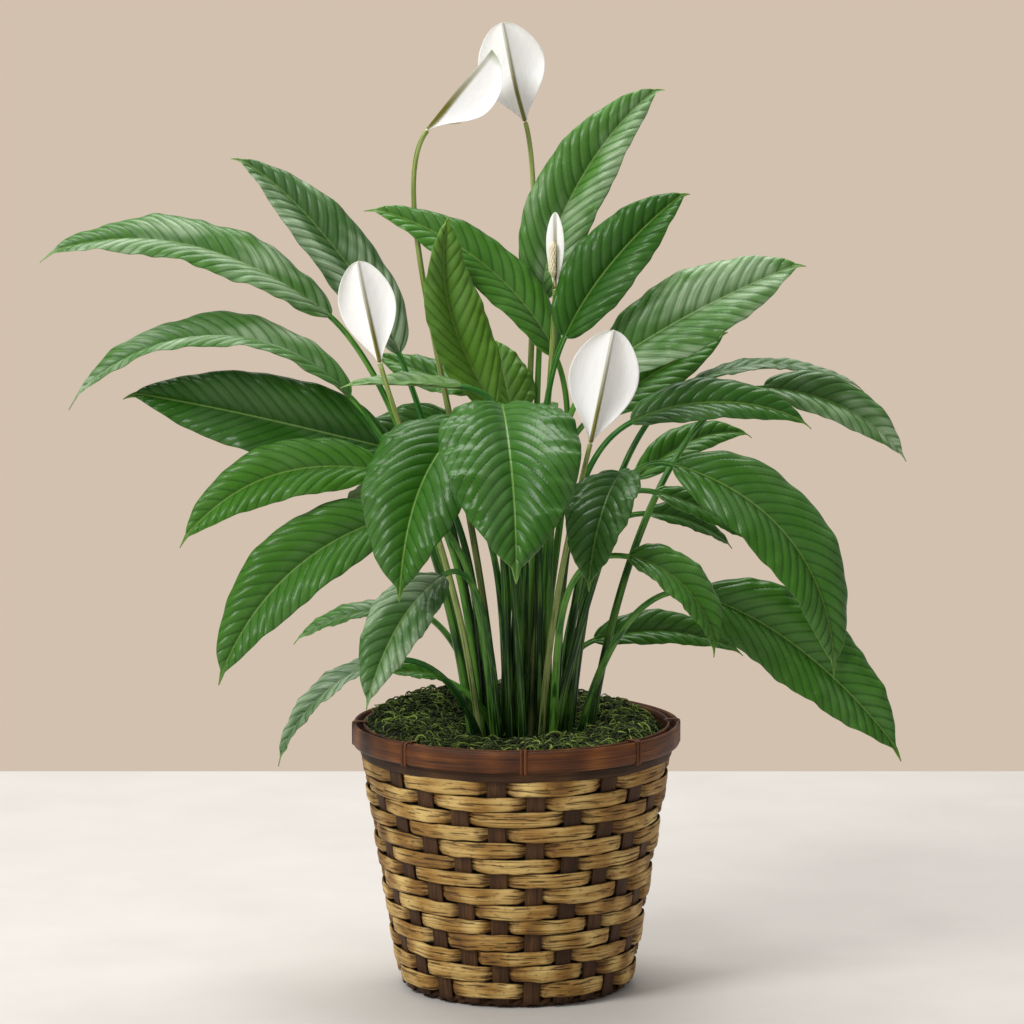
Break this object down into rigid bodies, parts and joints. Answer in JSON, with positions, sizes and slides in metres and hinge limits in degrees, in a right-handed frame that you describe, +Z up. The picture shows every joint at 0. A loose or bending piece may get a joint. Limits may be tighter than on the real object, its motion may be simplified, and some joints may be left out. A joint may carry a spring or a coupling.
{
  "type": "potted peace lily",
  "caption": "Leafy peace lily with white flowers on long stalks, planted in a round, tapered woven basket topped with moss.",
  "frame": {"origin": "centre of the basket's underside, on the surface it stands on", "axes": "+Z up, along the basket's axis; -Y towards the front; +X to the right"},
  "size_m": [0.6059, 0.4185, 0.6732],
  "materials": {
    "weave": "split-cane weave, satin, straw and brown",
    "rim": "stained bamboo hoop, satin",
    "reed": "dark stained reed, satin",
    "grow_pot": "thin moulded plastic, matt",
    "soil": "loose potting soil, matt",
    "moss": "dried moss, matt, fibrous",
    "leaf": "living leaf, satin, ribbed by its veins",
    "stalk": "living stalk, satin",
    "spathe": "white petal-like leaf, soft satin",
    "spadix": "beaded flower spike, matt"
  },
  "bodies": {
    "root": {"basket_wall": "weave", "rim_band_outer": "rim", "rim_band_inner": "rim", "foot_ring": "reed", "basket_base": "reed", "grow_pot": "grow_pot", "potting_soil": "soil", "moss": "moss", "leaf_01": "leaf", "leaf_02": "leaf", "leaf_03": "leaf", "leaf_04": "leaf", "leaf_05": "leaf", "leaf_06": "leaf", "leaf_07": "leaf", "leaf_08": "leaf", "leaf_09": "leaf", "leaf_10": "leaf", "leaf_11": "leaf", "leaf_12": "leaf", "leaf_13": "leaf", "leaf_14": "leaf", "leaf_15": "leaf", "leaf_16": "leaf", "leaf_17": "leaf", "leaf_18": "leaf", "leaf_19": "leaf", "leaf_20": "leaf", "leaf_21": "leaf", "leaf_22": "leaf", "leaf_23": "leaf", "leaf_24": "leaf", "leaf_25": "leaf", "leaf_26": "leaf", "leaf_27": "leaf", "leaf_28": "leaf", "leaf_29": "leaf", "leaf_30": "leaf", "leaf_31": "leaf", "leaf_32": "leaf", "leaf_33": "leaf", "leaf_34": "leaf", "leaf_35": "leaf", "leaf_36": "leaf", "flower_1_stalk": "stalk", "flower_1_spathe": "spathe", "flower_1_spadix": "spadix", "flower_2_stalk": "stalk", "flower_2_spathe": "spathe", "flower_2_spadix": "spadix", "flower_3_stalk": "stalk", "flower_3_spathe": "spathe", "flower_3_spadix": "spadix", "flower_4_stalk": "stalk", "flower_4_spathe": "spathe", "flower_4_spadix": "spadix", "flower_5_stalk": "stalk", "flower_5_spathe": "spathe", "flower_5_spadix": "spadix"}
  },
  "joints": []
}
